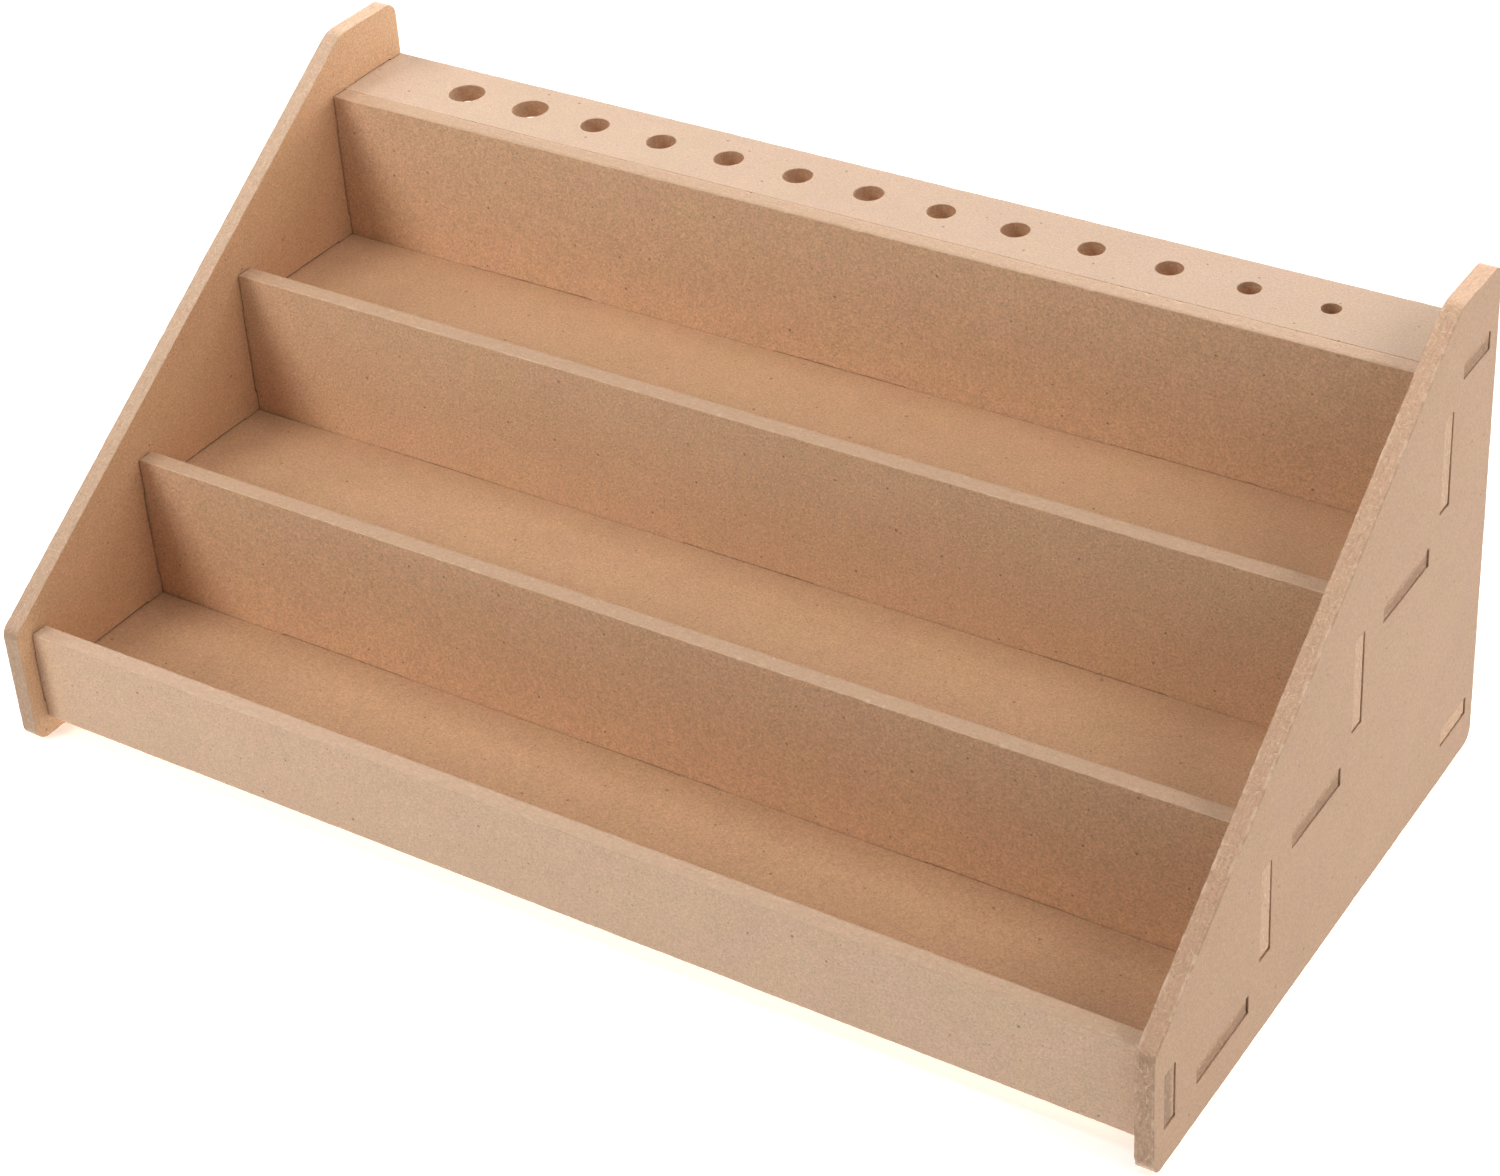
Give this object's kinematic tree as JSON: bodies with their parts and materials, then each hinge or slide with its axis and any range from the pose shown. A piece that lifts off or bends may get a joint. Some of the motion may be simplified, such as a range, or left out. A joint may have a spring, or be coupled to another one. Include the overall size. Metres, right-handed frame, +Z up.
{
  "type": "stepped desk organizer rack",
  "caption": "Stepped fibreboard desk rack with bottle troughs rising to a rear rail of tool holes, held between two sloping side panels by tabs and slots.",
  "frame": {"origin": "middle of the footprint, on the surface that the side panels' bottom edges stand on", "axes": "+X right along the shelves as seen from the front, +Y to the rear, towards the tool rail, +Z up"},
  "size_m": [0.336, 0.18, 0.141],
  "materials": {
    "fibreboard": "raw matt medium-density fibreboard, smooth faces and slightly fuzzy cut edges"
  },
  "bodies": {
    "root": {"front_lip": "fibreboard", "lower_shelf_floor": "fibreboard", "lower_riser": "fibreboard", "middle_shelf_floor": "fibreboard", "middle_riser": "fibreboard", "upper_shelf_floor": "fibreboard", "upper_riser": "fibreboard", "top_tool_rail": "fibreboard", "rear_bottom_rail": "fibreboard", "right_side_panel": "fibreboard", "left_side_panel": "fibreboard"}
  },
  "joints": []
}
